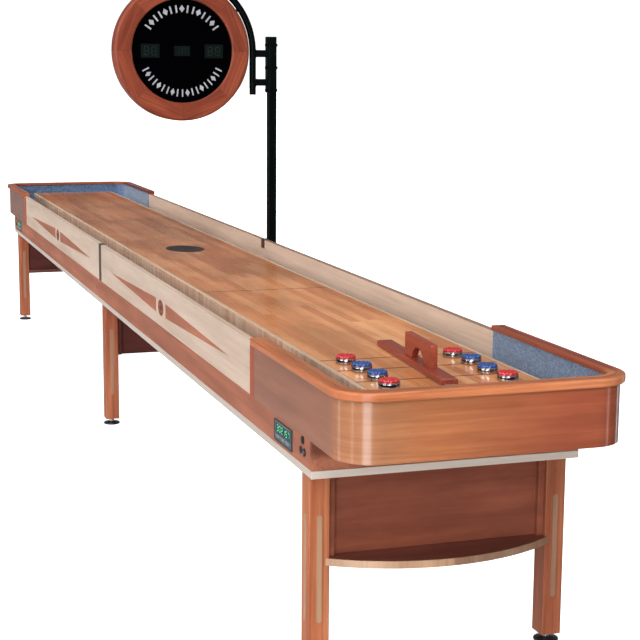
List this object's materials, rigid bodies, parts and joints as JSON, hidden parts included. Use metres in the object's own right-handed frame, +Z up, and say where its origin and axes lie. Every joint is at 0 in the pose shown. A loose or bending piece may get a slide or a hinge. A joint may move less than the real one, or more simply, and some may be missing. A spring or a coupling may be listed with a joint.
{
  "type": "shuffleboard table",
  "caption": "Long shuffleboard table with a laminated playfield, carpeted gutters, rounded end caps, levelling feet, sliding pucks, a sweep and a round score unit on a post.",
  "frame": {"origin": "centre of the bounding box at floor level; the table's own centreline lies 15.25 mm to its -Y side", "axes": "+X along the table towards the end with the pucks, +Y across towards the score post, +Z up"},
  "size_m": [6.732, 0.8464, 2.03],
  "materials": {
    "laminated_maple_playfield": "high-gloss polymer coat over edge-laminated strips",
    "pale_maple": "clear satin lacquer",
    "dark_stained_wood": "flush inlay under gloss",
    "cherry_stained_wood": "cherry stain, semi-gloss lacquer",
    "dark_cherry_panel": "cherry stain, satin",
    "structural_timber": "sawn, unfinished",
    "birch_ply_edge": "pale edge band, satin",
    "slate_blue_carpet": "short looped pile",
    "felt": "pressed felt",
    "black_powder_coat": "satin powder coat",
    "bronze_strip": "brushed bronze lacquer",
    "zinc_steel": "zinc plated",
    "chromed_steel": "polished",
    "black_acrylic": "gloss",
    "green_display": "smoked window over green segments",
    "slate_panel": "matte",
    "grey_key": "matte",
    "black_plastic": "satin",
    "black_foot": "moulded nylon on a threaded stem"
  },
  "bodies": {
    "table": {"playfield_slab": "laminated_maple_playfield", "playfield_edge": "pale_maple", "playfield_inlays": "dark_stained_wood", "cradles": "structural_timber", "climatic_adjusters": "zinc_steel", "gutter_deck": "structural_timber", "gutter_carpet": "slate_blue_carpet", "base_board": "birch_ply_edge", "aprons": "cherry_stained_wood", "side_panels": "pale_maple", "side_inlays": "cherry_stained_wood", "cap_trims": "cherry_stained_wood", "joint_plates": "bronze_strip", "end_cap_near": "cherry_stained_wood", "end_cap_far": "cherry_stained_wood", "end_rail_near": "cherry_stained_wood", "end_rail_far": "cherry_stained_wood", "end_liners": "slate_blue_carpet", "legs_near": "cherry_stained_wood", "legs_mid": "cherry_stained_wood", "legs_far": "cherry_stained_wood", "leg_panels": "dark_cherry_panel", "shelves": "dark_cherry_panel", "maple_trim": "pale_maple", "cover_caps": "dark_cherry_panel", "score_post": "black_powder_coat", "score_arm": "black_powder_coat", "post_bolts": "black_powder_coat", "score_ring": "cherry_stained_wood", "score_faces": "black_acrylic", "display_windows": "green_display", "panel_bezels": "slate_panel", "panel_fittings": "black_plastic"},
    "leveler_near_l": {"leveler_near_l": "black_foot"},
    "leveler_near_r": {"leveler_near_r": "black_foot"},
    "leveler_mid_l": {"leveler_mid_l": "black_foot"},
    "leveler_mid_r": {"leveler_mid_r": "black_foot"},
    "leveler_far_l": {"leveler_far_l": "black_foot"},
    "leveler_far_r": {"leveler_far_r": "black_foot"},
    "puck_l1": {"puck_l1": "chromed_steel"},
    "puck_l2": {"puck_l2": "chromed_steel"},
    "puck_l3": {"puck_l3": "chromed_steel"},
    "puck_l4": {"puck_l4": "chromed_steel"},
    "puck_r1": {"puck_r1": "chromed_steel"},
    "puck_r2": {"puck_r2": "chromed_steel"},
    "puck_r3": {"puck_r3": "chromed_steel"},
    "puck_r4": {"puck_r4": "chromed_steel"},
    "sweep": {"sweep_board": "cherry_stained_wood", "sweep_handle": "cherry_stained_wood", "sweep_felt": "felt"},
    "key_near_1": {"key_near_1": "grey_key"},
    "key_near_2": {"key_near_2": "grey_key"},
    "key_near_3": {"key_near_3": "grey_key"},
    "rocker_near": {"rocker_near": "black_plastic"},
    "key_lock_near": {"key_lock_near": "chromed_steel"},
    "key_far_1": {"key_far_1": "grey_key"},
    "key_far_2": {"key_far_2": "grey_key"},
    "key_far_3": {"key_far_3": "grey_key"},
    "rocker_far": {"rocker_far": "black_plastic"},
    "key_lock_far": {"key_lock_far": "chromed_steel"}
  },
  "joints": [
    {"name": "leveler_near_l_screw_travel", "type": "slide", "parent": "table", "child": "leveler_near_l", "axis": [0, 0, -1], "range_m": [-0.005, 0.015]},
    {"name": "leveler_near_r_screw_travel", "type": "slide", "parent": "table", "child": "leveler_near_r", "axis": [0, 0, -1], "range_m": [-0.005, 0.015]},
    {"name": "leveler_mid_l_screw_travel", "type": "slide", "parent": "table", "child": "leveler_mid_l", "axis": [0, 0, -1], "range_m": [-0.005, 0.015]},
    {"name": "leveler_mid_r_screw_travel", "type": "slide", "parent": "table", "child": "leveler_mid_r", "axis": [0, 0, -1], "range_m": [-0.005, 0.015]},
    {"name": "leveler_far_l_screw_travel", "type": "slide", "parent": "table", "child": "leveler_far_l", "axis": [0, 0, -1], "range_m": [-0.005, 0.015]},
    {"name": "leveler_far_r_screw_travel", "type": "slide", "parent": "table", "child": "leveler_far_r", "axis": [0, 0, -1], "range_m": [-0.005, 0.015]},
    {"name": "puck_l1_slide", "type": "slide", "parent": "table", "child": "puck_l1", "axis": [1, 0, 0], "range_m": [-5.86, 0]},
    {"name": "puck_l2_slide", "type": "slide", "parent": "table", "child": "puck_l2", "axis": [1, 0, 0], "range_m": [-0.045, 0]},
    {"name": "puck_l3_slide", "type": "slide", "parent": "table", "child": "puck_l3", "axis": [1, 0, 0], "range_m": [-0.045, 0]},
    {"name": "puck_l4_slide", "type": "slide", "parent": "table", "child": "puck_l4", "axis": [1, 0, 0], "range_m": [-0.045, 0]},
    {"name": "puck_r1_slide", "type": "slide", "parent": "table", "child": "puck_r1", "axis": [1, 0, 0], "range_m": [-5.86, 0]},
    {"name": "puck_r2_slide", "type": "slide", "parent": "table", "child": "puck_r2", "axis": [1, 0, 0], "range_m": [-0.045, 0]},
    {"name": "puck_r3_slide", "type": "slide", "parent": "table", "child": "puck_r3", "axis": [1, 0, 0], "range_m": [-0.045, 0]},
    {"name": "puck_r4_slide", "type": "slide", "parent": "table", "child": "puck_r4", "axis": [1, 0, 0], "range_m": [-0.045, 0]},
    {"name": "sweep_slide", "type": "slide", "parent": "table", "child": "sweep", "axis": [1, 0, 0], "range_m": [-5.6, 0]},
    {"name": "key_near_1_press", "type": "slide", "parent": "table", "child": "key_near_1", "axis": [0, 1, 0], "range_m": [0, 0.002], "stiffness_N_per_m": 300},
    {"name": "key_near_2_press", "type": "slide", "parent": "table", "child": "key_near_2", "axis": [0, 1, 0], "range_m": [0, 0.002], "stiffness_N_per_m": 300},
    {"name": "key_near_3_press", "type": "slide", "parent": "table", "child": "key_near_3", "axis": [0, 1, 0], "range_m": [0, 0.002], "stiffness_N_per_m": 300},
    {"name": "rocker_near_tilt", "type": "hinge", "parent": "table", "child": "rocker_near", "pos_m": [3, -0.40525, 0.646], "axis": [1, 0, 0], "range_deg": [0, 14]},
    {"name": "key_lock_near_turn", "type": "hinge", "parent": "table", "child": "key_lock_near", "pos_m": [3.014, -0.40525, 0.615], "axis": [0, 1, 0], "range_deg": [0, 90]},
    {"name": "key_far_1_press", "type": "slide", "parent": "table", "child": "key_far_1", "axis": [0, 1, 0], "range_m": [0, 0.002], "stiffness_N_per_m": 300},
    {"name": "key_far_2_press", "type": "slide", "parent": "table", "child": "key_far_2", "axis": [0, 1, 0], "range_m": [0, 0.002], "stiffness_N_per_m": 300},
    {"name": "key_far_3_press", "type": "slide", "parent": "table", "child": "key_far_3", "axis": [0, 1, 0], "range_m": [0, 0.002], "stiffness_N_per_m": 300},
    {"name": "rocker_far_tilt", "type": "hinge", "parent": "table", "child": "rocker_far", "pos_m": [-3, -0.40525, 0.646], "axis": [1, 0, 0], "range_deg": [0, 14]},
    {"name": "key_lock_far_turn", "type": "hinge", "parent": "table", "child": "key_lock_far", "pos_m": [-3.014, -0.40525, 0.615], "axis": [0, 1, 0], "range_deg": [0, 90]}
  ]
}
